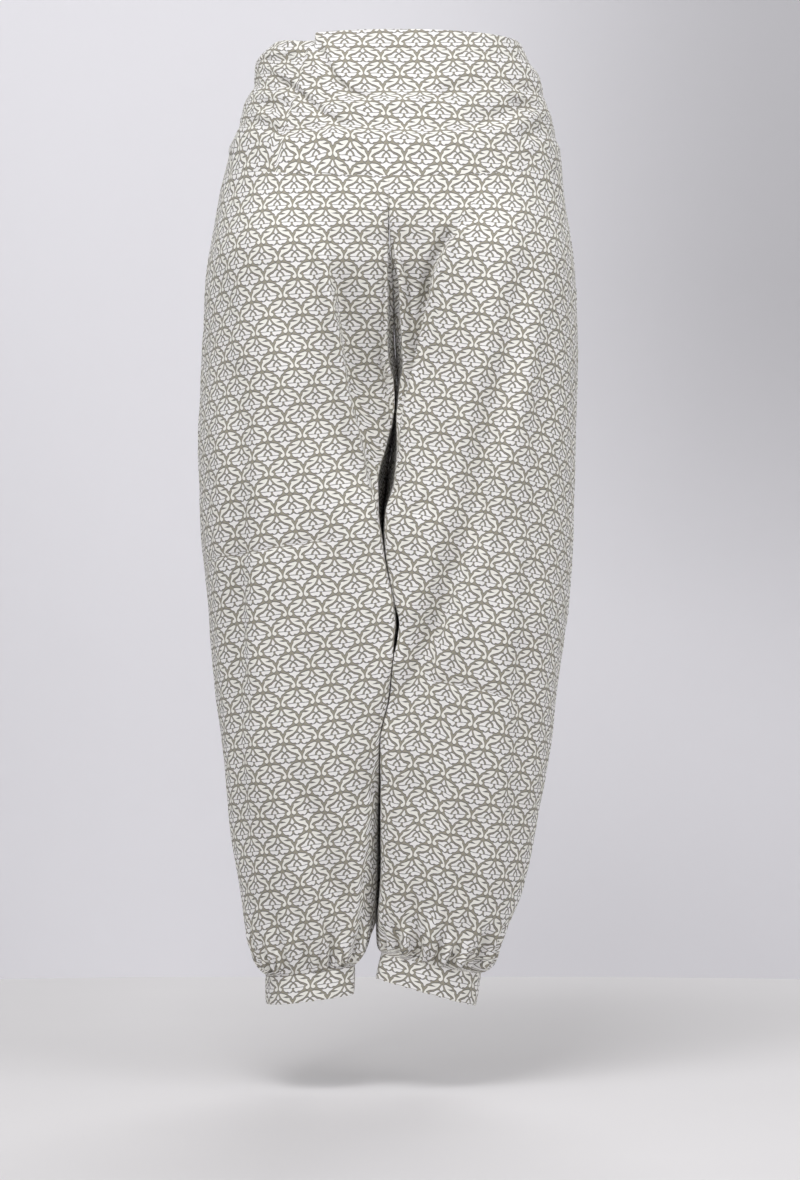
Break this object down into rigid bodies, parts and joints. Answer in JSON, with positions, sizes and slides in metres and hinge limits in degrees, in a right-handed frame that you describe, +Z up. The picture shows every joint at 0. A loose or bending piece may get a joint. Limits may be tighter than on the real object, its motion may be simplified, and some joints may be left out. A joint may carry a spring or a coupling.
{
  "type": "dhoti pants",
  "caption": "Worn dhoti pants: a deep yoke with a cased top edge, two full legs that taper from a low crotch, and narrow cuffs that gather them. Open at waist and ankles.",
  "frame": {"origin": "middle of the waist opening, at the level of its top edge, where the garment is held up when worn", "axes": "-Y towards the garment's back, +X towards the wearer's right, +Z up along the legs"},
  "size_m": [0.3589, 0.2603, 0.9118],
  "materials": {
    "printed_cotton": "matte woven cotton, white print on khaki"
  },
  "bodies": {
    "root": {"yoke_back": "printed_cotton", "yoke_front": "printed_cotton", "leg_left_back": "printed_cotton", "leg_left_front": "printed_cotton", "leg_right_back": "printed_cotton", "leg_right_front": "printed_cotton", "cuff_left": "printed_cotton", "cuff_right": "printed_cotton"}
  },
  "joints": []
}
